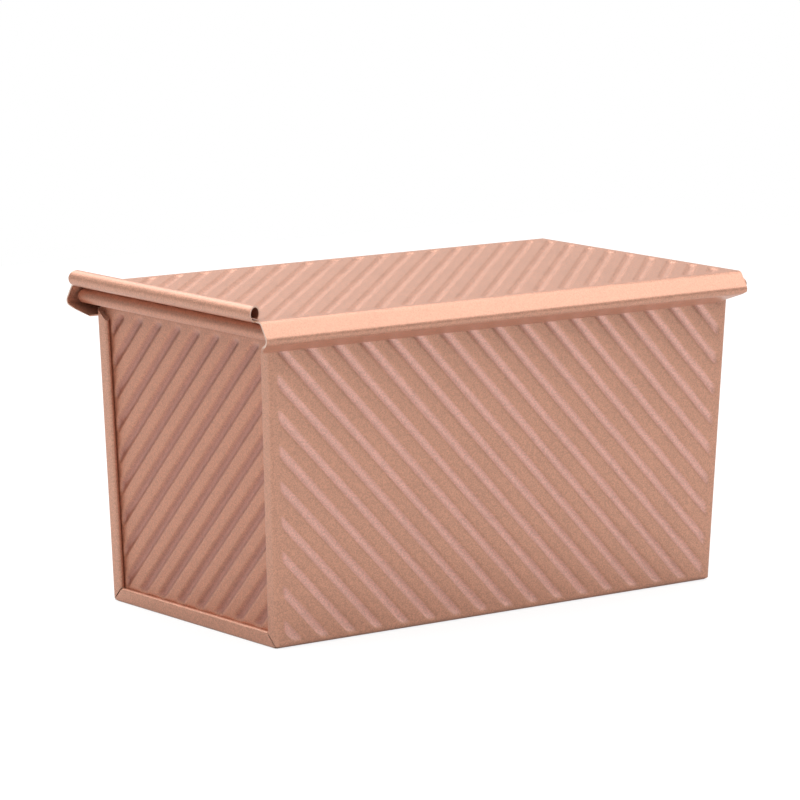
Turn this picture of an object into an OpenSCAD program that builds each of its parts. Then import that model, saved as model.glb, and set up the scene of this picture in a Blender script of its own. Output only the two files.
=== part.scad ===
// Corrugated loaf pan with a sliding lid, folded from thin coated steel sheet.
// The pan is one wrapped sheet, front wall, floor and back wall in one, and two end
// panels, held by flattened lock seams round three sides of each end.
// The lid is one sheet whose long edges are formed into rails that slide on the
// rolled rim, with a rolled edge to pull it by.
// Frame: X along the length with the lid's pull edge at -X, the front wall at -Y,
// Z up, and the origin at the middle of the underside of the floor.

/* [Pan] */
// Inside length of the pan at its floor
floor_length = 186; // [150:1:240]
// Inside width of the pan at its floor
floor_width = 96; // [75:1:130]
// Height from the underside of the floor to the top of the rim roll
pan_height = 110.2; // [80:0.1:140]
// Outward lean of the two end panels, in degrees
end_flare = 2.65; // [1:0.05:5]
// Outward lean of the two long walls, in degrees
side_flare = 1.2; // [0.5:0.05:4]
// Thickness of the coated sheet
sheet = 0.6; // [0.5:0.05:0.8]
// Outer radius of the bend between the floor and a long wall
floor_bend = 2; // [1.6:0.1:4]
// Outer diameter of the hollow roll round the rim
rim_roll = 6.2; // [5:0.1:7.5]

/* [Corrugation] */
// Distance between the middles of two grooves, square to them
groove_pitch = 8; // [6:0.1:14]
// Width of a groove at the face of the sheet
groove_width = 3.8; // [2.6:0.1:5]
// Width of the flat bottom of a groove
groove_bottom = 1.6; // [0.8:0.1:2.2]
// Depth of the grooves in the walls, the floor and the end panels
groove_depth = 0.9; // [0.4:0.05:1.2]
// Depth of the grooves in the lid
lid_groove_depth = 0.7; // [0.4:0.05:1]
// Angle between the grooves and the long edges, in degrees
groove_angle = 45; // [35:1:55]
// Where a groove of the front wall meets the underside line, from the middle
wall_groove_start = 5.9; // [-6:0.1:6]
// Height at which a groove of an end panel crosses its upright middle line
end_groove_start = 50.1; // [45:0.1:56]
// Where a groove of the lid crosses its long middle line, from the middle
lid_groove_start = 7.8; // [-6:0.1:8]
// Plain strip of a long wall between its grooves and the seam's outer face
wall_margin = 3; // [2.8:0.1:8]
// Plain strip between the grooves of an end panel and its seam
end_margin = 0.6; // [0.4:0.1:4]
// Plain strip below the rim roll on all walls
rim_margin = 1.4; // [0.8:0.1:6]
// Plain strip of the lid along its rails
lid_side_margin = 4; // [1:0.1:12]
// Plain strip of the lid at its far end
lid_end_margin = 4; // [2:0.1:12]

/* [Lock seam] */
// Width of the flattened seam on the end face
seam_width = 5.3; // [4.4:0.1:7]
// Clearance between two layers of the seam
seam_gap = 0.06; // [0.03:0.01:0.1]
// Outer radius of the bend from a wall onto the end face
seam_bend = 1.2; // [0.9:0.1:1.6]
// Width of the cut between two seam strips at a bottom corner
seam_mitre = 0.5; // [0.2:0.1:1]
// Height of the slanted cut at the top of an upright seam
seam_top_cut = 4.1; // [2:0.1:7]
// Clearance between an upright seam and the rim roll above it
seam_top_gap = 0.4; // [0.3:0.1:2]

/* [Lid] */
// Running clearance between the rim roll and the grooves of the lid
lid_gap = 0.3; // [0.2:0.05:0.6]
// How far the lid's rails reach past the rim roll at the pull end
pull_overhang = 3; // [1:0.1:8]
// How far the lid stops short of the rim roll's face at the far end
far_setback = 2.2; // [0:0.1:4]
// Clearance between the rim roll and the widest inside of a rail
rail_clearance = 2.1; // [1:0.1:4]
// Depth of a rail's widest point below the top of the lid
rail_drop = 6.1; // [5.5:0.1:8]
// Outer radius of the bend at the top of a rail
rail_shoulder = 2.2; // [1.4:0.1:3]
// Outer radius of the bend at the widest point of a rail
rail_turn = 2.2; // [1.4:0.1:3]
// Slope of a rail's upper face, in degrees below level
rail_slope = 57; // [48:1:66]
// Slope of a rail's lip back towards the wall, in degrees below level
lip_slope = 26; // [15:1:32]
// Clearance between the edge of a lip and the wall
lip_gap = 0.5; // [0.3:0.05:2]
// Length of the slanted cut on a lip at the pull end
lip_cut_pull = 4.4; // [1:0.1:12]
// Length of the slanted cut on a lip at the far end
lip_cut_far = 8; // [1:0.1:14]
// Outer diameter of the rolled edge that the lid is pulled by
pull_roll = 5.6; // [4:0.1:8]
// Distance from the end of the pull roll to the bend of the rail beside it
pull_roll_inset = 2; // [0.5:0.1:8]
// Slant of the cut at each end of the pull roll, in degrees
pull_roll_slant = 22; // [0:1:35]

/* [Hidden] */
$fn = 64;

// Walls as planes: where each one's outer face meets the level of the underside
wall_y = floor_width / 2 + sheet / cos(side_flare);
end_x = floor_length / 2 + sheet / cos(end_flare);

// Rim roll: its radius, the height of its axis and where the axis runs
roll_r = rim_roll / 2;
roll_z = pan_height - roll_r;
roll_out = roll_r - sheet;
side_roll_v = (roll_z + roll_out * sin(side_flare)) / cos(side_flare);
end_roll_v = (roll_z + roll_out * sin(end_flare)) / cos(end_flare);
roll_y = wall_y + side_roll_v * sin(side_flare) + roll_out * cos(side_flare);
roll_x = end_x + end_roll_v * sin(end_flare) + roll_out * cos(end_flare);
rim_corner = roll_x - roll_y;
rim_mitre = 0.05;
roll_open = acos((roll_out - 0.15) / roll_r);

// Largest step between two points of a bend, in degrees, and how far a fold's
// flat sheet runs into the sheet that it belongs to
bend_step = 12;
grip = 0.2;

// A grooved field is let in below both faces of the plain sheet round it by this much,
// and runs into that sheet's thickness by the second
let_in = 0.01;
field_lap = 0.1;

// Lock seam: three layers and three clearances on the end face
seam_high = 3 * (sheet + seam_gap);
fold_r = (3 * sheet + 2 * seam_gap) / 2;
hook_tip = seam_width - fold_r;
hook_root = sheet + seam_gap + fold_r;
seam_x = end_x + seam_high / cos(end_flare);
side_lean = atan(cos(end_flare) * tan(side_flare));
seam_top_z = roll_z - roll_r - seam_top_gap;
seam_top_v = seam_top_z / cos(end_flare);
corner_chamfer = 2 * (floor_bend + seam_gap) - sqrt(2) * (floor_bend - sheet) + 0.15;

// Corrugation: places of the grooves measured square to them
wall_groove_q = wall_groove_start * sin(groove_angle);
floor_groove_q = wall_groove_q + wall_y * cos(groove_angle);
back_groove_q = -(wall_groove_q + 2 * wall_y * cos(groove_angle));
end_groove_q = end_groove_start * cos(groove_angle);
lid_groove_q = lid_groove_start * sin(groove_angle);
groove_top_z = roll_z - roll_r - rim_margin;
reach = floor_length + floor_width + pan_height;

// Lid: levels, ends and the outline of a rail
lid_under = pan_height + lid_gap + lid_groove_depth;
lid_top = lid_under + sheet;
lid_x0 = -(roll_x + roll_r + pull_overhang);
lid_x1 = roll_x + roll_r - far_setback;
rail_y = roll_y + roll_r + rail_clearance + sheet;
rail_normal = 90 - rail_slope;
turn_y = rail_y - rail_turn;
turn_z = lid_top - rail_drop;
shoulder_z = lid_top - rail_shoulder;
slope_length = (shoulder_z - turn_z + (rail_shoulder - rail_turn) * sin(rail_normal)) / sin(rail_slope);
shoulder_y = turn_y + (rail_turn - rail_shoulder) * cos(rail_normal) - slope_length * cos(rail_slope);
lip_y = turn_y + rail_turn * sin(lip_slope);
lip_z = turn_z - rail_turn * cos(lip_slope);
lip_foot_y = wall_y + (lip_z - 3) * tan(side_flare) + lip_gap;
lip_length = (lip_y - lip_foot_y) / cos(lip_slope);
lip_foot_z = lip_z - lip_length * sin(lip_slope);
pull_r = pull_roll / 2;
pull_y = shoulder_y - pull_roll_inset;
pull_open = asin((pull_r - sheet - 0.2) / pull_r);

// Points of one side of a bend round its middle c, in even steps of the angle
function bend_side(c, r, from, to) = let (n = ceil(abs(to - from) / bend_step))
    [for (i = [0:n]) let (a = from + (to - from) * i / max(n, 1)) c + r * [cos(a), sin(a)]];

// Both sides of a folded sheet, from its bends in order: middle, radius of one side,
// radius of the other, first and last angle. Flat sheet runs straight from bend to bend,
// and a bend of no angle is a flat's free end.
function sheet_sides(bends) = [for (side = [1, 2])
    [for (b = bends) each bend_side(b[0], b[side], b[3], b[4])]];

function backwards(points) = [for (i = [len(points) - 1:-1:0]) points[i]];

// Points of a half, led in by its own mirror image in the middle plane
function both_halves(points) = concat([for (p = backwards(points)) [-p[0], p[1]]], points);

function turned(p, angle) = [p[0] * cos(angle) - p[1] * sin(angle), p[0] * sin(angle) + p[1] * cos(angle)];

module folded_sheet(bends) {
    sides = sheet_sides(bends);
    polygon(concat(sides[0], backwards(sides[1])));
}

// Points along one face of a grooved sheet
function grooved_line(centres, lo, hi, depth, level) = concat(
    [[lo, level]],
    [for (c = centres, p = [[-groove_width, 0], [-groove_bottom, -depth],
        [groove_bottom, -depth], [groove_width, 0]]) [c + p[0] / 2, level + p[1]]],
    [[hi, level]]);

function groove_centres(start) = let (n = floor(reach / groove_pitch))
    [for (k = [-n:n]) start + k * groove_pitch];

// Grooved sheet, outer face up, let in below z = 0; turn is where the grooves' normal points
module grooved_sheet(turn, start, depth) {
    centres = groove_centres(start);
    lo = centres[0] - groove_pitch / 2;
    hi = centres[len(centres) - 1] + groove_pitch / 2;
    inner = grooved_line(centres, lo, hi, depth, let_in - sheet);
    rotate([90, 0, turn])
        linear_extrude(height = 2 * reach, center = true)
            polygon(concat(grooved_line(centres, lo, hi, depth, -let_in),
                [for (i = [len(inner) - 1:-1:0]) inner[i]]));
}

// The closed ends of the grooves: what a groove displaces, as solid bars
module groove_bars(turn, start, depth) {
    rotate([90, 0, turn])
        linear_extrude(height = 2 * reach, center = true)
            for (c = groove_centres(start))
                polygon([[c - groove_width / 2, -let_in], [c + groove_width / 2, -let_in],
                    [c + groove_width / 2, let_in - sheet],
                    [c + groove_bottom / 2, let_in - sheet - depth],
                    [c - groove_bottom / 2, let_in - sheet - depth],
                    [c - groove_width / 2, let_in - sheet]]);
}

// A block through the sheet over an outline given by half widths at two heights
module window(low, high, inset) {
    translate([0, 0, -10])
        linear_extrude(height = 20)
            polygon([[low[0] + inset, low[2] + inset], [low[1] - inset, low[2] + inset],
                [high[1] - inset, high[2] - inset], [high[0] + inset, high[2] - inset]]);
}

// Grooves inside a window, with their ends closed against the plain sheet round it
module grooved_field(low, high, turn, start, depth) {
    intersection() {
        grooved_sheet(turn, start, depth);
        window(low, high, -field_lap);
    }
    intersection() {
        groove_bars(turn, start, depth);
        difference() {
            window(low, high, -field_lap);
            window(low, high, sheet);
        }
    }
}

// Frame of the front wall's outer face: x along it, y up it, z outwards
module on_front() {
    translate([0, -wall_y, 0])
        rotate([90 + side_flare, 0, 0])
            children();
}

// Frame of the left end panel's outer face: x towards the front, y up it, z outwards
module on_left_end() {
    translate([-end_x, 0, 0])
        rotate([0, -end_flare, 0])
            rotate([90, 0, -90])
                children();
}

// Half length of a long wall's grooved field at a height
function wall_field_x(z) = seam_x + z * tan(end_flare) - wall_margin;
wall_low = [-wall_field_x(floor_bend), wall_field_x(floor_bend), floor_bend + 0.4];
wall_high_z = groove_top_z;
wall_high = [-wall_field_x(wall_high_z), wall_field_x(wall_high_z), wall_high_z];
floor_field_x = wall_field_x(0) - 1;
floor_field_y = wall_y - floor_bend - 0.4;
floor_low = [-floor_field_x, floor_field_x, -floor_field_y];
floor_high = [-floor_field_x, floor_field_x, floor_field_y];

// Bends of the wrapped sheet from the middle of the floor up one wall to its rim roll
bend_y = wall_y - floor_bend * (1 - sin(side_flare)) / cos(side_flare);
roll_middle = [wall_y, 0] + turned([roll_out, side_roll_v], -side_flare);
wrap_bends = [
    [[bend_y, floor_bend], floor_bend, floor_bend - sheet, -90, -side_flare],
    [roll_middle, roll_r - sheet, roll_r, 180 - side_flare, -roll_open - side_flare]];
floor_to_wall = bend_side(wrap_bends[0][0], floor_bend, -90, -side_flare);

// Outline of the wrap's cross-section, filled, as seen along the pan
module wrap_outline() {
    wall_top = roll_middle + (roll_r - sheet) * [cos(180 - side_flare), sin(180 - side_flare)];
    polygon(both_halves(concat(floor_to_wall, [wall_top])));
}

// The wrapped sheet's cross-section: floor, two bends, two walls and their rim rolls
module wrap_section() {
    sides = sheet_sides(wrap_bends);
    polygon(concat(both_halves(sides[0]), backwards(both_halves(sides[1]))));
}

// Room that the wrapped sheet may fill: between the leaning ends, mitred at the rim
module wrap_room() {
    low_x = seam_x - seam_bend / cos(end_flare);
    split = seam_top_z;
    split_x = low_x + split * tan(end_flare);
    corner = rim_corner - rim_mitre;
    wide = rail_y + 10;
    rotate([90, 0, 0])
        linear_extrude(height = 2 * wide, center = true)
            polygon([[-low_x, 0], [low_x, 0], [split_x, split], [-split_x, split]]);
    translate([0, 0, split])
        linear_extrude(height = rim_roll + 10)
            polygon([[-corner, 0], [-corner - wide, wide], [corner + wide, wide],
                [corner, 0], [corner + wide, -wide], [-corner - wide, -wide]]);
}

// Cross-section of the wrap's side of the seam: x in from the corner, y out from the panel
module seam_wrap_section() {
    corner = [seam_bend, seam_high - seam_bend];
    fold_y = seam_gap + fold_r;
    folded_sheet([
        [corner - [0, grip], seam_bend, seam_bend - sheet, 180, 180],
        [corner, seam_bend, seam_bend - sheet, 180, 90],
        [[hook_tip, fold_y], fold_r, fold_r - sheet, 90, -90],
        [[hook_root, fold_y], fold_r, fold_r - sheet, -90, -90]]);
}

// Cross-section of the end panel's hook, folded back outside its own face
module seam_hook_section() {
    fold_y = fold_r - sheet;
    folded_sheet([
        [[hook_root + grip, fold_y], fold_r, fold_r - sheet, 270, 270],
        [[hook_root, fold_y], fold_r, fold_r - sheet, 270, 90],
        [[hook_tip, fold_y], fold_r, fold_r - sheet, 90, 90]]);
}

// Strips of a seam section along the bottom and both upright edges of an end
module seam_frame(spread) {
    cut = seam_mitre / 2 * sqrt(2);
    slant = seam_top_cut / seam_width;
    top_y = wall_y + seam_top_v * tan(side_lean);
    in = seam_width + 3;
    long = 2 * reach;
    intersection() {
        rotate([90, 0, 90])
            linear_extrude(height = long, center = true)
                children();
        translate([0, 0, -3])
            linear_extrude(height = 8)
                polygon([[-wall_y + cut - 1, -1], [wall_y - cut + 1, -1],
                    [wall_y - cut - in, in], [-wall_y + cut + in, in]]);
    }
    for (side = [0, 1])
        mirror([side, 0, 0])
            intersection() {
                translate([wall_y + spread, 0, 0])
                    rotate([0, 0, -side_lean])
                        rotate([90, 0, 180])
                            linear_extrude(height = long, center = true)
                                children();
                translate([0, 0, -3])
                    linear_extrude(height = 8)
                        polygon([[wall_y + cut + 2, -2], [top_y + 2, seam_top_v + 2 * slant],
                            [top_y - in, seam_top_v - in * slant], [wall_y - in, in + cut]]);
            }
}

module pan_wrap() {
    color([0.76, 0.57, 0.45]) {
        difference() {
            intersection() {
                rotate([90, 0, 90])
                    linear_extrude(height = 2 * reach, center = true)
                        wrap_section();
                wrap_room();
            }
            for (turn = [0, 180])
                rotate([0, 0, turn])
                    on_front()
                        window(wall_low, wall_high, 0);
            window(floor_low, floor_high, 0);
        }
        on_front()
            grooved_field(wall_low, wall_high, 90 - groove_angle, wall_groove_q, groove_depth);
        rotate([0, 0, 180])
            on_front()
                grooved_field(wall_low, wall_high, 90 - groove_angle, back_groove_q, groove_depth);
        mirror([0, 0, 1])
            grooved_field(floor_low, floor_high, groove_angle - 90, floor_groove_q, groove_depth);
        for (turn = [0, 180])
            rotate([0, 0, turn])
                intersection() {
                    on_left_end()
                        seam_frame(0.01)
                            seam_wrap_section();
                    rotate([90, 0, 90])
                        linear_extrude(height = 2 * reach, center = true)
                            wrap_outline();
                }
    }
}

// The panel's plain outline between its folds, and above them out to the walls
module end_panel_plate() {
    clear = sheet + seam_gap;
    low_v = hook_root;
    mid_v = seam_top_v - seam_top_cut;
    lean = tan(side_lean);
    inner = wall_y - hook_root;
    outer = wall_y - clear;
    translate([0, 0, -sheet])
        linear_extrude(height = sheet) {
            polygon([[-inner - low_v * lean, low_v], [inner + low_v * lean, low_v],
                [inner + end_roll_v * lean, end_roll_v], [-inner - end_roll_v * lean, end_roll_v]]);
            polygon([[-outer - mid_v * lean, mid_v], [outer + mid_v * lean, mid_v],
                [outer + end_roll_v * lean, end_roll_v], [-outer - end_roll_v * lean, end_roll_v]]);
        }
}

// Cross-section of the rim roll of an end panel: x outwards, y up the panel
module end_roll_section() {
    folded_sheet([
        [[roll_out, end_roll_v - grip], roll_r - sheet, roll_r, 180, 180],
        [[roll_out, end_roll_v], roll_r - sheet, roll_r, 180, -roll_open]]);
}

module left_end() {
    lean = tan(side_lean);
    low_v = seam_width + end_margin;
    high_v = groove_top_z / cos(end_flare);
    half = wall_y - seam_width - end_margin;
    field_low = [-half - low_v * lean, half + low_v * lean, low_v];
    field_high = [-half - high_v * lean, half + high_v * lean, high_v];
    wide = rail_y + 10;
    corner = rim_corner + rim_mitre;
    chamfer = corner_chamfer;
    intersection() {
        difference() {
            on_left_end() {
                difference() {
                    end_panel_plate();
                    window(field_low, field_high, 0);
                }
                grooved_field(field_low, field_high, 90 + groove_angle, end_groove_q, groove_depth);
                seam_frame(0)
                    seam_hook_section();
                rotate([0, -90, 0])
                    linear_extrude(height = 2 * wide, center = true)
                        end_roll_section();
            }
            on_left_end()
                for (side = [0, 1])
                    mirror([side, 0, 0])
                        translate([0, 0, -5])
                            linear_extrude(height = 10)
                                polygon([[wall_y - chamfer, 0], [wall_y + 2, -chamfer - 2 + chamfer],
                                    [wall_y + 2, chamfer], [wall_y, chamfer]]);
        }
        union() {
            translate([-2 * reach, -wide, -1])
                cube([2 * reach, 2 * wide, seam_top_z + 1]);
            translate([0, 0, seam_top_z])
                linear_extrude(height = rim_roll + 10)
                    polygon([[-corner, 0], [-corner - wide, wide], [-corner - wide, -wide]]);
        }
    }
}

module left_end_panel() {
    color([0.70, 0.50, 0.41])
        left_end();
}

module right_end_panel() {
    color([0.70, 0.50, 0.41])
        mirror([1, 0, 0])
            mirror([0, 1, 0])
                left_end();
}

// Cross-section of the lid's panel and its two rails, y across and z up
module lid_section() {
    lip_angle = lip_slope - 90;
    lip_end = [turn_y, turn_z] - lip_length * [cos(lip_slope), sin(lip_slope)];
    sides = sheet_sides([
        [[shoulder_y, shoulder_z], rail_shoulder, rail_shoulder - sheet, 90, rail_normal],
        [[turn_y, turn_z], rail_turn, rail_turn - sheet, rail_normal, lip_angle],
        [lip_end, rail_turn, rail_turn - sheet, lip_angle, lip_angle]]);
    polygon(concat(both_halves(sides[0]), backwards(both_halves(sides[1]))));
}

module sliding_lid() {
    field_y = shoulder_y - lid_side_margin;
    field_x0 = lid_x0 + pull_r + 0.5;
    field_x1 = lid_x1 - lid_end_margin;
    field_low = [field_x0, field_x1, -field_y];
    field_high = [field_x0, field_x1, field_y];
    lip_drop = lip_z - lip_foot_z + 1;
    color([0.86, 0.72, 0.62]) {
        difference() {
            translate([lid_x0, 0, 0])
                rotate([90, 0, 90])
                    linear_extrude(height = lid_x1 - lid_x0)
                        lid_section();
            translate([0, 0, lid_top])
                window(field_low, field_high, 0);
            rotate([90, 0, 0])
                linear_extrude(height = 4 * rail_y, center = true) {
                    polygon([[lid_x0 - 1, lip_z + 1], [lid_x0, lip_z + 1],
                        [lid_x0 + lip_cut_pull, lip_z + 1 - lip_drop], [lid_x0 + lip_cut_pull, lip_foot_z - 2],
                        [lid_x0 - 1, lip_foot_z - 2]]);
                    polygon([[lid_x1 + 1, lip_z + 1], [lid_x1, lip_z + 1],
                        [lid_x1 - lip_cut_far, lip_z + 1 - lip_drop], [lid_x1 - lip_cut_far, lip_foot_z - 2],
                        [lid_x1 + 1, lip_foot_z - 2]]);
                }
        }
        translate([0, 0, lid_top])
            grooved_field(field_low, field_high, groove_angle - 90, lid_groove_q, lid_groove_depth);
        pull_edge();
    }
}

// The rolled edge, with its ends cut on the slant
module pull_edge() {
    half = pull_y + 10;
    rise = tan(pull_roll_slant);
    intersection() {
        translate([lid_x0, 0, lid_under + pull_r])
            rotate([90, 0, 0])
                linear_extrude(height = 2 * half, center = true)
                    folded_sheet([
                        [[grip, 0], pull_r, pull_r - sheet, 270, 270],
                        [[0, 0], pull_r, pull_r - sheet, 270, -pull_open]]);
        translate([lid_x0, 0, lid_under - 1])
            linear_extrude(height = pull_roll + 2)
                polygon([[-10, -pull_y - 10 * rise], [10, -pull_y + 10 * rise],
                    [10, pull_y - 10 * rise], [-10, pull_y + 10 * rise]]);
    }
}

pan_wrap();
left_end_panel();
right_end_panel();
sliding_lid();
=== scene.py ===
"""Looks of the corrugated loaf pan with its sliding lid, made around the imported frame.

Every sheet of the pan is a numpy surface in millimetres, a folded profile carried along
the pan, and is written to its mesh in metres.
"""

import math

import bpy
import numpy as np
from mathutils import Matrix, Vector


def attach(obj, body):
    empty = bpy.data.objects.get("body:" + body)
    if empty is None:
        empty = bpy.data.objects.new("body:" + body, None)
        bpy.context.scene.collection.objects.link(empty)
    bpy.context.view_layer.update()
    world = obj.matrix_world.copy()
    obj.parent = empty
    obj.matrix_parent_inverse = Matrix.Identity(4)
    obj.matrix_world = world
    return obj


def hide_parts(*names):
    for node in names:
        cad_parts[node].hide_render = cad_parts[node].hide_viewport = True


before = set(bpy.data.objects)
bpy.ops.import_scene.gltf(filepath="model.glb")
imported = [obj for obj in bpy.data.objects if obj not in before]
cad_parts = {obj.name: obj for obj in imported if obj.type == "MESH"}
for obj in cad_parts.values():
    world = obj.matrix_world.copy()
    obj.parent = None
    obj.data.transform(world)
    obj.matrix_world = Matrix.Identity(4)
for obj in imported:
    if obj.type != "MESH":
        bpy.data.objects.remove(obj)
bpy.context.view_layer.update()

MM = 0.001

# Pan, in millimetres and radians
SHEET = 0.6
FLOOR_LENGTH = 186.0
FLOOR_WIDTH = 96.0
PAN_HEIGHT = 110.2
END_FLARE = math.radians(2.65)
SIDE_FLARE = math.radians(1.2)
FLOOR_BEND = 2.0
ROLL_R = 3.1
WALL_Y = FLOOR_WIDTH / 2 + SHEET / math.cos(SIDE_FLARE)
END_X = FLOOR_LENGTH / 2 + SHEET / math.cos(END_FLARE)
ROLL_Z = PAN_HEIGHT - ROLL_R
ROLL_OUT = ROLL_R - SHEET
ROLL_OPEN = math.degrees(math.acos((ROLL_OUT - 0.15) / ROLL_R))
SIDE_ROLL_V = (ROLL_Z + ROLL_OUT * math.sin(SIDE_FLARE)) / math.cos(SIDE_FLARE)
END_ROLL_V = (ROLL_Z + ROLL_OUT * math.sin(END_FLARE)) / math.cos(END_FLARE)
ROLL_Y = WALL_Y + SIDE_ROLL_V * math.sin(SIDE_FLARE) + ROLL_OUT * math.cos(SIDE_FLARE)
ROLL_X = END_X + END_ROLL_V * math.sin(END_FLARE) + ROLL_OUT * math.cos(END_FLARE)
RIM_CORNER = ROLL_X - ROLL_Y
RIM_MITRE = 0.05

# Corrugation
GROOVE_PITCH = 8.0
GROOVE_WIDTH = 4.0
GROOVE_BOTTOM = 1.4
GROOVE_DEPTH = 0.9
LID_GROOVE_DEPTH = 0.7
DIAGONAL = math.sqrt(0.5)
WALL_GROOVE = 5.9 * DIAGONAL
FLOOR_GROOVE = WALL_GROOVE + WALL_Y * DIAGONAL
BACK_GROOVE = -(WALL_GROOVE + 2 * WALL_Y * DIAGONAL)
END_GROOVE = 50.1 * DIAGONAL
LID_GROOVE = 7.8 * DIAGONAL
RIM_MARGIN = 1.4

# Lock seams
SEAM_WIDTH = 5.3
SEAM_GAP = 0.06
SEAM_BEND = 1.2
SEAM_MITRE_CUT = 0.5 * DIAGONAL
SEAM_TOP_SLANT = 4.1 / SEAM_WIDTH
SEAM_HIGH = 3 * (SHEET + SEAM_GAP)
FOLD_R = (3 * SHEET + 2 * SEAM_GAP) / 2
HOOK_TIP = SEAM_WIDTH - FOLD_R
HOOK_ROOT = SHEET + SEAM_GAP + FOLD_R
SEAM_X = END_X + SEAM_HIGH / math.cos(END_FLARE)
SIDE_LEAN = math.atan(math.cos(END_FLARE) * math.tan(SIDE_FLARE))
SEAM_TOP_Z = ROLL_Z - ROLL_R - 0.4
SEAM_TOP_V = SEAM_TOP_Z / math.cos(END_FLARE)

# Lid
LID_UNDER = PAN_HEIGHT + 0.3 + LID_GROOVE_DEPTH
LID_TOP = LID_UNDER + SHEET
LID_X0 = -(ROLL_X + ROLL_R + 3.0)
LID_X1 = ROLL_X + ROLL_R - 2.2
RAIL_R = 2.2
RAIL_SLOPE = 57.0
LIP_SLOPE = 26.0
TURN = np.array([ROLL_Y + ROLL_R + 2.1 + SHEET - RAIL_R, LID_TOP - 6.1])
SHOULDER_Z = LID_TOP - RAIL_R
SLOPE_LENGTH = (SHOULDER_Z - TURN[1]) / math.sin(math.radians(RAIL_SLOPE))
SHOULDER_Y = TURN[0] - SLOPE_LENGTH * math.cos(math.radians(RAIL_SLOPE))
LIP = TURN + RAIL_R * np.array([math.sin(math.radians(LIP_SLOPE)), -math.cos(math.radians(LIP_SLOPE))])
LIP_FOOT_Y = WALL_Y + (LIP[1] - 3) * math.tan(SIDE_FLARE) + 0.5
LIP_LENGTH = (LIP[0] - LIP_FOOT_Y) / math.cos(math.radians(LIP_SLOPE))
LIP_FOOT_Z = LIP[1] - LIP_LENGTH * math.sin(math.radians(LIP_SLOPE))
PULL_R = 2.8
PULL_Y = SHOULDER_Y - 2.0
PULL_SLANT = math.tan(math.radians(22))
PULL_OPEN = math.degrees(math.asin((PULL_R - SHEET - 0.2) / PULL_R))

BEND_STEP = 7.5
FINE_STEP = 0.8

# Painted light on the coating: a painted highlight in the grooves of the walls and lid, painted shade in the
# grooves of the end panels, and painted shade over the whole end panels
WALL_GROOVE_PAINTED_HIGHLIGHT = (1.30, 1.45, 1.75)
END_GROOVE_PAINTED_SHADE = (0.80, 0.76, 0.88)
END_PAINTED_SHADE = (0.93, 0.83, 0.78)
LID_GROOVE_PAINTED_HIGHLIGHT = (1.15, 1.20, 1.26)


def smooth(t):
    """Rises from 0 to 1 as t does, with no slope at either end."""
    t = np.clip(t, 0, 1)
    return t * t * (3 - 2 * t)


def bend_side(centre, radius, start, stop):
    """Points round a centre at a radius, from one angle in degrees to another in even steps."""
    count = int(math.ceil(abs(stop - start) / BEND_STEP)) + 1
    angle = np.radians(np.linspace(start, stop, count))
    return np.asarray(centre) + radius * np.stack([np.cos(angle), np.sin(angle)], axis=1)


def sheet_sides(bends, flat_step):
    """Both sides of a folded sheet: each bend is its centre, one side's radius, the other's,
    and two angles. The straight sheet between bends is cut into steps of flat_step at most."""
    sides = [np.concatenate([bend_side(b[0], b[side], b[3], b[4]) for b in bends]) for side in (1, 2)]
    gaps = np.linalg.norm(np.diff(sides[0], axis=0), axis=1)
    cuts = np.maximum(np.ceil(gaps / flat_step), 1).astype(int)
    where = np.concatenate([i + np.arange(n) / n for i, n in enumerate(cuts)] + [[len(cuts)]])
    order = np.arange(len(sides[0]))
    return [np.stack([np.interp(where, order, side[:, k]) for k in (0, 1)], axis=1) for side in sides]


def groove_shape(across, start):
    """0 on plain sheet and 1 at the bottom of a groove, with soft slopes, for a distance
    measured square to the grooves and the place of one groove's middle."""
    off = np.abs((across - start + GROOVE_PITCH / 2) % GROOVE_PITCH - GROOVE_PITCH / 2)
    return smooth((GROOVE_WIDTH / 2 - off) / ((GROOVE_WIDTH - GROOVE_BOTTOM) / 2))


def painted_groove_light(shape, gain):
    """A painted light factor for each point: 1 on plain sheet, the gain in the bottom of a groove, a painted
    highlight where the gain is above 1 and painted shade where it is below.
    """
    return 1 + smooth(shape * 1.8 - 0.2)[..., None] * (np.asarray(gain) - 1)


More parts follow.
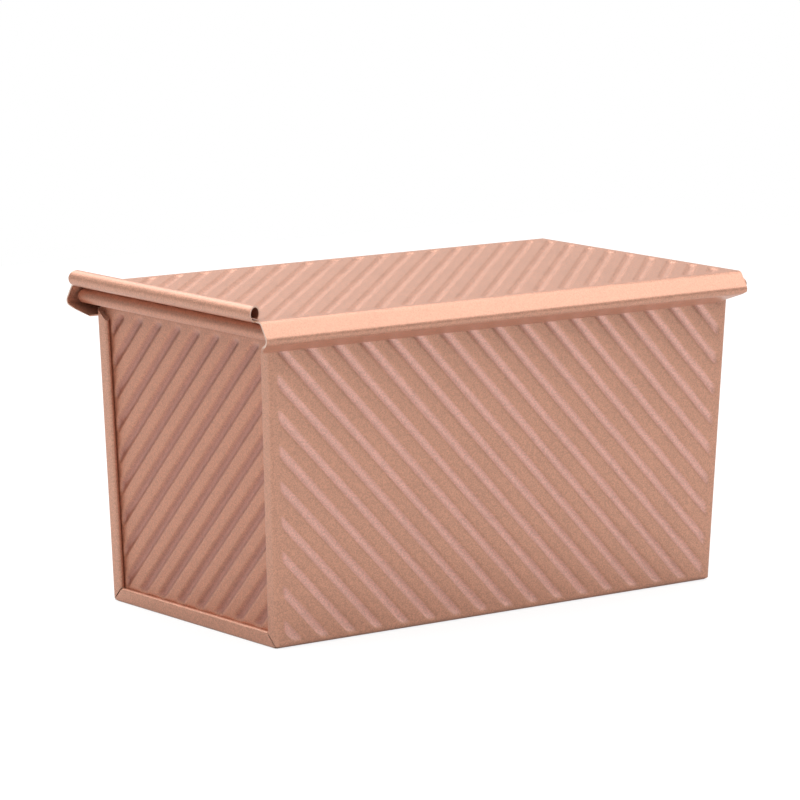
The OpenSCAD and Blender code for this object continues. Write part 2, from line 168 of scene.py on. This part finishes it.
def closed_sheet(name, outer, inner, body, nodes, materials, painted_light=None):
    """A sheet of metal between two grids of points: both faces, and the cut edge all round.
    Its quads face away from the sheet, whichever way the grids run. Its painted_light grid holds one
    colour factor for each point: painted highlight and painted shade that scale the coating's colour."""
    rows, cols = outer.shape[:2]
    points = np.concatenate([outer.reshape(-1, 3), inner.reshape(-1, 3)]) * MM
    index = np.arange(rows * cols).reshape(rows, cols)
    face = np.stack([index[:-1, :-1], index[1:, :-1], index[1:, 1:], index[:-1, 1:]], axis=-1).reshape(-1, 4)
    ring = np.concatenate([index[0], index[1:, -1], index[-1, -2::-1], index[-2:0:-1, 0]])
    after = np.roll(ring, -1)
    far = rows * cols
    edge = np.stack([ring, after, after + far, ring + far], axis=1)
    quads = np.concatenate([face, face[:, ::-1] + far, edge])
    corner = [points[face[:, k]] for k in range(4)]
    normal = np.cross(corner[2] - corner[0], corner[3] - corner[1])
    if np.sum(normal * (points[face[:, 0]] - points[face[:, 0] + far])) < 0:
        quads = quads[:, ::-1]
    mesh = bpy.data.meshes.new(name)
    mesh.vertices.add(len(points))
    mesh.vertices.foreach_set("co", points.ravel())
    mesh.loops.add(quads.size)
    mesh.loops.foreach_set("vertex_index", quads.ravel())
    mesh.polygons.add(len(quads))
    mesh.polygons.foreach_set("loop_start", np.arange(0, quads.size, 4))
    mesh.polygons.foreach_set("loop_total", np.full(len(quads), 4))
    mesh.polygons.foreach_set("material_index", (np.arange(len(quads)) >= 2 * len(face)).astype(np.int32))
    mesh.update(calc_edges=True)
    mesh.shade_smooth()
    mesh.set_sharp_from_angle(angle=math.radians(50))
    # Painted highlight and shade, one colour factor for each point, stored on both faces for the coating to
    # multiply by
    colours = np.ones((len(points), 4), dtype=np.float32)
    if painted_light is not None:
        colours[:, :3] = np.tile(painted_light.reshape(-1, 3), (2, 1))
    mesh.attributes.new("painted_light", "FLOAT_COLOR", "POINT").data.foreach_set("color", colours.ravel())
    for material in materials:
        mesh.materials.append(material)
    piece = bpy.data.objects.new(name, mesh)
    bpy.context.scene.collection.objects.link(piece)
    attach(piece, body)
    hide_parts(*nodes)
    return piece


def turned_half_round(points):
    """The same points after half a turn round the pan's upright axis."""
    return points * np.array([-1.0, -1.0, 1.0])


# Walls, floor and rim


def wall_end_x(y, z):
    """Half length of a long wall: along the leaning seam below, and at the 45 degree mitre
    of the rim above it."""
    leaning = SEAM_X - SEAM_BEND / math.cos(END_FLARE) + z * math.tan(END_FLARE)
    return np.where(z < SEAM_TOP_Z, leaning, RIM_CORNER - RIM_MITRE + np.abs(y))


def long_wall(name, groove_start, back, materials):
    """The bend from the floor, a long wall and its rim roll: one profile carried along the
    pan, sunk inwards along the grooves, which fade towards the wall's plain border."""
    lean = math.degrees(SIDE_FLARE)
    bend_y = WALL_Y - FLOOR_BEND * (1 - math.sin(SIDE_FLARE)) / math.cos(SIDE_FLARE)
    roll = np.array([ROLL_Y, ROLL_Z])
    profile = sheet_sides([
        ([bend_y, FLOOR_BEND], FLOOR_BEND, FLOOR_BEND - SHEET, -90, -lean),
        (roll, ROLL_R - SHEET, ROLL_R, 180 - lean, -ROLL_OPEN - lean)], FINE_STEP)
    along = np.linspace(-1, 1, 250)
    height = profile[0][:, 1][:, None]
    on_wall = (profile[0][:, 0] < WALL_Y + ROLL_Z * math.tan(SIDE_FLARE) + 0.01)[:, None]
    faces = []
    for side in profile:
        y = side[:, 0][:, None]
        z = side[:, 1][:, None]
        x = along[None, :] * wall_end_x(y, z)
        up = height / math.cos(SIDE_FLARE)
        across = (x + up) * DIAGONAL
        border = SEAM_X + height * math.tan(END_FLARE) - 2.6 - np.abs(x)
        top = ROLL_Z - ROLL_R - RIM_MARGIN - height
        shape = groove_shape(across, groove_start) * on_wall
        shape = shape * smooth(border / 2.2) * smooth(top / 2.0) * smooth((height - 0.8) / 3.6)
        sink = GROOVE_DEPTH * shape
        points = np.empty(x.shape + (3,))
        points[..., 0] = x
        points[..., 1] = -(y - sink * math.cos(SIDE_FLARE))
        points[..., 2] = z + sink * math.sin(SIDE_FLARE)
        faces.append(turned_half_round(points) if back else points)
    # The grooves are painted lighter: a painted highlight
    closed_sheet(name, faces[0], faces[1], "pan", ["pan_wrap"], materials, painted_groove_light(shape, WALL_GROOVE_PAINTED_HIGHLIGHT))


def pan_floor(materials):
    """The flat floor between the two bends, pressed up along the grooves."""
    bend_y = WALL_Y - FLOOR_BEND * (1 - math.sin(SIDE_FLARE)) / math.cos(SIDE_FLARE)
    half_x = wall_end_x(0.0, 0.0)
    x, y = np.meshgrid(np.linspace(-half_x, half_x, 270), np.linspace(-bend_y, bend_y, 140))
    border = np.minimum(SEAM_X - 3.6 - np.abs(x), bend_y - 0.3 - np.abs(y))
    rise = GROOVE_DEPTH * groove_shape((x - y) * DIAGONAL, FLOOR_GROOVE) * smooth(border / 2.0)
    under = np.stack([x, y, rise], axis=-1)
    closed_sheet("floor", under, under + np.array([0, 0, SHEET]), "pan", ["pan_wrap"], materials)


def from_end_frame(across, up, out):
    """Points on the left end: across towards the front, up the panel, out of its face."""
    points = np.empty(np.broadcast(across, up, out).shape + (3,))
    points[..., 0] = -END_X - out * math.cos(END_FLARE) - up * math.sin(END_FLARE)
    points[..., 1] = -across
    points[..., 2] = up * math.cos(END_FLARE) - out * math.sin(END_FLARE)
    return points


def end_panel(name, node, right, materials):
    """An end panel and its rim roll: one profile carried across the pan, sunk inwards along
    the grooves. It is narrow between the seams and runs to the mitre at the rim."""
    profile = sheet_sides([
        ([ROLL_OUT, HOOK_ROOT], ROLL_R - SHEET, ROLL_R, 180, 180),
        ([ROLL_OUT, END_ROLL_V], ROLL_R - SHEET, ROLL_R, 180, -ROLL_OPEN)], FINE_STEP)
    share = np.linspace(-1, 1, 170)
    lean = math.tan(SIDE_LEAN)
    level = profile[0][:, 1][:, None]
    on_panel = (profile[0][:, 0] < 0.01)[:, None] & (level < SEAM_TOP_V)
    faces = []
    for side in profile:
        out = side[:, 0][:, None]
        up = side[:, 1][:, None]
        far_x = END_X + out * math.cos(END_FLARE) + up * math.sin(END_FLARE)
        half = np.where(level < SEAM_TOP_V - 4.1, WALL_Y - HOOK_ROOT, WALL_Y - SHEET - SEAM_GAP) + level * lean
        half = np.where(level < SEAM_TOP_V, half, far_x - RIM_CORNER - RIM_MITRE)
        across = share[None, :] * half
        border = WALL_Y - SEAM_WIDTH + level * lean - np.abs(across)
        low = level - SEAM_WIDTH
        top = (ROLL_Z - ROLL_R - RIM_MARGIN) / math.cos(END_FLARE) - level
        shape = groove_shape((up - across) * DIAGONAL, END_GROOVE) * on_panel
        shape = shape * smooth(border / 1.6) * smooth(low / 1.6) * smooth(top / 2.0)
        points = from_end_frame(across, up, out - GROOVE_DEPTH * shape)
        faces.append(turned_half_round(points) if right else points)
    # Painted shade: the grooves and the whole end panel are painted darker and redder
    painted_light = painted_groove_light(shape, END_GROOVE_PAINTED_SHADE) * np.array(END_PAINTED_SHADE)
    closed_sheet(name, faces[0], faces[1], "pan", [node], materials, painted_light)


# Lock seams


def kept_in_wrap(points):
    """Points moved onto the rounded bottom edges of the wrap where they lie outside them."""
    bend_y = WALL_Y - FLOOR_BEND * (1 - math.sin(SIDE_FLARE)) / math.cos(SIDE_FLARE)
    side = np.sign(points[..., 1])
    dy = np.abs(points[..., 1]) - bend_y
    dz = points[..., 2] - FLOOR_BEND
    reach = np.hypot(dy, dz)
    outside = (dy > 0) & (dz < 0) & (reach > FLOOR_BEND)
    pull = np.where(outside, FLOOR_BEND / np.maximum(reach, 1e-6), 1)
    moved = points.copy()
    moved[..., 1] = np.where(outside, side * (bend_y + dy * pull), points[..., 1])
    moved[..., 2] = np.maximum(np.where(outside, FLOOR_BEND + dz * pull, points[..., 2]), 0)
    return moved


def seam_strips(name, bends, node, right, materials):
    """The bottom strip and two upright strips of one layer of a lock seam: its section, in
    from the corner and out from the panel, carried along the edge between mitred ends."""
    sides = sheet_sides(bends, 1.2)
    run = np.linspace(0, 1, 60)
    cos, sin = math.cos(SIDE_LEAN), math.sin(SIDE_LEAN)
    top_y = WALL_Y + SEAM_TOP_V * math.tan(SIDE_LEAN)
    for edge in ("bottom", "front", "back"):
        faces = []
        for side in sides:
            inward = side[:, 0][:, None]
            out = side[:, 1][:, None]
            if edge == "bottom":
                across = (2 * run[None, :] - 1) * (WALL_Y - SEAM_MITRE_CUT - inward)
                points = from_end_frame(across, inward, out)
            else:
                start = (SEAM_MITRE_CUT + inward * (cos - sin)) / (sin + cos)
                stop = SEAM_TOP_V + SEAM_TOP_SLANT * (WALL_Y - top_y - inward * cos) - inward * sin
                stop = stop / (cos - SEAM_TOP_SLANT * sin)
                length = start + (stop - start) * run[None, :]
                across = WALL_Y - inward * cos + length * sin
                up = inward * sin + length * cos
                points = from_end_frame(across if edge == "front" else -across, up, out)
            points = kept_in_wrap(points)
            faces.append(turned_half_round(points) if right else points)
        closed_sheet(name + "_" + edge, faces[0], faces[1], "pan", [node], materials)


def lock_seam(end, node, right, materials):
    """Both layers of the seam round one end: the wrap's flange folded back under itself,
    and the end panel's hook inside that fold."""
    fold_y = SEAM_GAP + FOLD_R
    seam_strips(end + "_seam", [
        ([SEAM_BEND, SEAM_HIGH - SEAM_BEND], SEAM_BEND, SEAM_BEND - SHEET, 180, 90),
        ([HOOK_TIP, fold_y], FOLD_R, FOLD_R - SHEET, 90, -90),
        ([HOOK_ROOT, fold_y], FOLD_R, FOLD_R - SHEET, -90, -90)], "pan_wrap", right, materials)
    hook_y = FOLD_R - SHEET
    seam_strips(end + "_hook", [
        ([HOOK_ROOT, hook_y], FOLD_R, FOLD_R - SHEET, 270, 90),
        ([HOOK_TIP, hook_y], FOLD_R, FOLD_R - SHEET, 90, 90)], node, right, materials)


# Lid


def lid_panel(materials):
    """The lid's flat sheet, sunk along grooves that run out at its plain borders."""
    x, y = np.meshgrid(np.linspace(LID_X0, LID_X1, 300), np.linspace(-SHOULDER_Y, SHOULDER_Y, 160))
    border = np.minimum(SHOULDER_Y - 1.0 - np.abs(y), LID_X1 - 1.2 - x)
    border = np.minimum(border, x - LID_X0 - PULL_R)
    shape = groove_shape((x - y) * DIAGONAL, LID_GROOVE) * smooth(border / 3.0)
    top = np.stack([x, y, LID_TOP - LID_GROOVE_DEPTH * shape], axis=-1)
    # The grooves are painted lighter: a painted highlight
    painted_light = painted_groove_light(shape, LID_GROOVE_PAINTED_HIGHLIGHT)
    closed_sheet("lid_panel", top, top - np.array([0, 0, SHEET]), "lid", ["sliding_lid"], materials, painted_light)


def lid_rail(name, side, materials):
    """A rail's bends, slope and lip carried along the lid, with the lip's ends cut aslant."""
    normal = 90 - RAIL_SLOPE
    lip_angle = LIP_SLOPE - 90
    slope = np.radians(LIP_SLOPE)
    lip_end = TURN - LIP_LENGTH * np.array([math.cos(slope), math.sin(slope)])
    profile = sheet_sides([
        ([SHOULDER_Y, SHOULDER_Z], RAIL_R, RAIL_R - SHEET, 90, normal),
        (TURN, RAIL_R, RAIL_R - SHEET, normal, lip_angle),
        (lip_end, RAIL_R, RAIL_R - SHEET, lip_angle, lip_angle)], 0.8)
    run = np.linspace(0, 1, 120)
    drop = LIP[1] - LIP_FOOT_Z + 1
    faces = []
    for points_yz in profile:
        y = points_yz[:, 0][:, None]
        z = points_yz[:, 1][:, None]
        down = np.clip((LIP[1] + 1 - z) / drop, 0, 1)
        start = LID_X0 + 4.4 * smooth(down * 0.5) * 2
        stop = LID_X1 - 8.0 * down
        points = np.empty((len(y), len(run), 3))
        points[..., 0] = start + (stop - start) * run[None, :]
        points[..., 1] = side * y
        points[..., 2] = z
        faces.append(points)
    closed_sheet(name, faces[0], faces[1], "lid", ["sliding_lid"], materials)


def pull_roll(materials):
    """The hollow roll along the pull edge: a nearly closed ring, its two ends cut aslant."""
    profile = sheet_sides([
        ([0.3, 0.0], PULL_R, PULL_R - SHEET, 270, 270),
        ([0.0, 0.0], PULL_R, PULL_R - SHEET, 270, -PULL_OPEN)], 1.0)
    share = np.linspace(-1, 1, 110)
    faces = []
    for side in profile:
        x = side[:, 0][:, None]
        points = np.empty((len(x), len(share), 3))
        points[..., 0] = LID_X0 + x
        points[..., 1] = share[None, :] * (PULL_Y - x * PULL_SLANT)
        points[..., 2] = LID_UNDER + PULL_R + side[:, 1][:, None]
        faces.append(points)
    closed_sheet("pull_roll", faces[0], faces[1], "lid", ["sliding_lid"], materials)


# Materials


class Value:
    """A socket that takes Python's arithmetic, one Math node for each step."""

    def __init__(self, paint, socket):
        self.paint = paint
        self.socket = socket

    def math(self, operation, first, second):
        return self.paint.node("ShaderNodeMath", {"operation": operation}, {0: first, 1: second})

    def __add__(self, other):
        return self.math("ADD", self, other)

    def __radd__(self, other):
        return self.math("ADD", other, self)

    def __sub__(self, other):
        return self.math("SUBTRACT", self, other)

    def __rsub__(self, other):
        return self.math("SUBTRACT", other, self)

    def __mul__(self, other):
        return self.math("MULTIPLY", self, other)

    def __rmul__(self, other):
        return self.math("MULTIPLY", other, self)


class Paint:
    """One material's node tree. node() adds any node, with its settings and its inputs."""

    def __init__(self, name):
        self.material = bpy.data.materials.new(name)
        self.material.use_nodes = True
        self.tree = self.material.node_tree
        self.tree.nodes.clear()

    def node(self, kind, settings=None, inputs=None, output=0):
        node = self.tree.nodes.new(kind)
        for name, value in (settings or {}).items():
            setattr(node, name, value)
        for name, value in (inputs or {}).items():
            if isinstance(value, Value):
                self.tree.links.new(value.socket, node.inputs[name])
            else:
                node.inputs[name].default_value = value
        return Value(self, node.outputs[output])

    def finish(self, surface):
        self.node_out = self.tree.nodes.new("ShaderNodeOutputMaterial")
        self.tree.links.new(surface.socket, self.node_out.inputs["Surface"])
        return self.material


def linear(red, green, blue):
    """A colour in linear light from its 0 to 255 screen values."""
    screen = np.array([red, green, blue]) / 255
    light = np.where(screen <= 0.04045, screen / 12.92, ((screen + 0.055) / 1.055) ** 2.4)
    return tuple(float(c) for c in light)


def coated_steel():
    """Rose-gold non-stick coating: metallic flakes a third of a millimetre wide that vary in
    tone and gloss, in a satin film with slow clouds and a faint orange-peel surface."""
    paint = Paint("rose_gold_coating")
    place = paint.node("ShaderNodeTexCoord", output="Object")
    cell = paint.node("ShaderNodeTexVoronoi", None, {"Vector": place, "Scale": 2600.0}, "Color")
    flake = paint.node("ShaderNodeSeparateColor", None, {"Color": cell})
    cloud = paint.node("ShaderNodeTexNoise", None, {"Vector": place, "Scale": 55.0, "Detail": 3.0})
    peel = paint.node("ShaderNodeTexNoise", None, {"Vector": place, "Scale": 1500.0, "Detail": 2.0})
    tone = 0.78 + 0.36 * flake + 0.10 * cloud
    # The painted highlight and shade from the mesh scale the base colour
    painted_light = paint.node("ShaderNodeAttribute", {"attribute_name": "painted_light"}, output="Color")
    base_with_light_paint = paint.node("ShaderNodeVectorMath", {"operation": "MULTIPLY"},
                        {0: linear(206, 152, 127), 1: painted_light})
    colour = paint.node("ShaderNodeVectorMath", {"operation": "SCALE"}, {0: base_with_light_paint, 3: tone})
    height = 0.6 * peel + 0.4 * flake
    bump = paint.node("ShaderNodeBump", None, {"Strength": 0.5, "Distance": 0.00004, "Height": height})
    return paint.finish(paint.node("ShaderNodeBsdfPrincipled", None, {
        "Base Color": colour, "Metallic": 0.62, "Roughness": 0.36 + 0.14 * flake,
        "Coat Weight": 0.45, "Coat Roughness": 0.3, "Normal": bump}))


def cut_edge():
    """The bright sheared edge of the sheet, with fine marks across it."""
    paint = Paint("cut_steel_edge")
    place = paint.node("ShaderNodeTexCoord", output="Object")
    marks = paint.node("ShaderNodeTexNoise", None, {"Vector": place, "Scale": 900.0, "Detail": 2.0})
    tone = 0.85 + 0.3 * marks
    colour = paint.node("ShaderNodeVectorMath", {"operation": "SCALE"},
                        {0: linear(232, 205, 188), 3: tone})
    return paint.finish(paint.node("ShaderNodeBsdfPrincipled", None, {
        "Base Color": colour, "Metallic": 0.8, "Roughness": 0.3 + 0.2 * marks}))


# Studio


def studio_floor():
    """A pale floor that the camera sees as nearly white, with a soft shadow kept on it."""
    paint = Paint("studio_floor")
    ray = paint.tree.nodes.new("ShaderNodeLightPath")
    seen = Value(paint, ray.outputs["Is Camera Ray"])
    shade = paint.node("ShaderNodeBsdfDiffuse", None, {"Color": (0.6, 0.6, 0.6, 1)})
    glow = paint.node("ShaderNodeEmission", None, {"Color": (1, 1, 1, 1), "Strength": 1.3})
    material = paint.finish(paint.node("ShaderNodeMixShader", None, {0: seen * 0.6, 1: shade, 2: glow}))
    mesh = bpy.data.meshes.new("studio_floor")
    half = 0.8
    mesh.from_pydata([(-half, -half, 0), (half, -half, 0), (half, half, 0), (-half, half, 0)], [], [(0, 1, 2, 3)])
    mesh.materials.append(material)
    floor = bpy.data.objects.new("studio_floor", mesh)
    bpy.context.scene.collection.objects.link(floor)


def studio_world():
    """White to the camera, and a softer grey as light."""
    world = bpy.data.worlds.new("studio")
    world.use_nodes = True
    nodes, links = world.node_tree.nodes, world.node_tree.links
    nodes.clear()
    ray = nodes.new("ShaderNodeLightPath")
    white = nodes.new("ShaderNodeBackground")
    white.inputs["Strength"].default_value = 1.0
    white.inputs["Color"].default_value = (1, 1, 1, 1)
    grey = nodes.new("ShaderNodeBackground")
    grey.inputs["Color"].default_value = (1, 1, 1, 1)
    grey.inputs["Strength"].default_value = 0.40
    mix = nodes.new("ShaderNodeMixShader")
    out = nodes.new("ShaderNodeOutputWorld")
    links.new(ray.outputs["Is Camera Ray"], mix.inputs[0])
    links.new(grey.outputs[0], mix.inputs[1])
    links.new(white.outputs[0], mix.inputs[2])
    links.new(mix.outputs[0], out.inputs["Surface"])
    bpy.context.scene.world = world


def soft_light(name, direction, distance, size, power):
    """A square lamp in a direction from the pan, turned towards it."""
    lamp = bpy.data.lights.new(name, "AREA")
    lamp.size = size
    lamp.energy = power
    light = bpy.data.objects.new(name, lamp)
    middle = Vector((0, 0, 0.06))
    light.location = middle + Vector(direction).normalized() * distance
    light.rotation_euler = (middle - light.location).to_track_quat("-Z", "Y").to_euler()
    bpy.context.scene.collection.objects.link(light)


def photo_camera():
    """The photograph's camera: where it stands, what it looks at and its small roll."""
    azimuth, elevation, roll = (math.radians(a) for a in (37.584, 9.523, 0.25))
    distance = 1.51398
    aim = Vector((-0.004448, 0.003424, 0.067992))
    back = Vector((-math.sin(azimuth) * math.cos(elevation),
                   -math.cos(azimuth) * math.cos(elevation), math.sin(elevation)))
    right = Vector((math.cos(azimuth), -math.sin(azimuth), 0))
    up = back.cross(right)
    side = right * math.cos(roll) + up * math.sin(roll)
    top = up * math.cos(roll) - right * math.sin(roll)
    lens = bpy.data.cameras.new("photo_camera")
    lens.sensor_width = 36.0
    lens.lens = 4311.5 / 800 * lens.sensor_width
    lens.clip_start = 0.05
    camera = bpy.data.objects.new("photo_camera", lens)
    turn = Matrix((side, top, back)).transposed().to_4x4()
    camera.matrix_world = Matrix.Translation(aim + back * distance) @ turn
    bpy.context.scene.collection.objects.link(camera)
    bpy.context.scene.camera = camera


finishes = [coated_steel(), cut_edge()]
long_wall("front_wall", WALL_GROOVE, False, finishes)
long_wall("back_wall", BACK_GROOVE, True, finishes)
pan_floor(finishes)
end_panel("left_end", "left_end_panel", False, finishes)
end_panel("right_end", "right_end_panel", True, finishes)
lock_seam("left", "left_end_panel", False, finishes)
lock_seam("right", "right_end_panel", True, finishes)
lid_panel(finishes)
lid_rail("front_rail", -1, finishes)
lid_rail("back_rail", 1, finishes)
pull_roll(finishes)
studio_floor()
studio_world()
soft_light("rail_light", (0.60, -0.47, 0.65), 1.6, 0.9, 7)
soft_light("top_light", (-0.1, 0.25, 1.0), 1.9, 3.4, 88)
soft_light("left_light", (-1.0, -0.3, 0.55), 1.8, 0.9, 1)
photo_camera()
bpy.context.scene.view_settings.view_transform = "Standard"
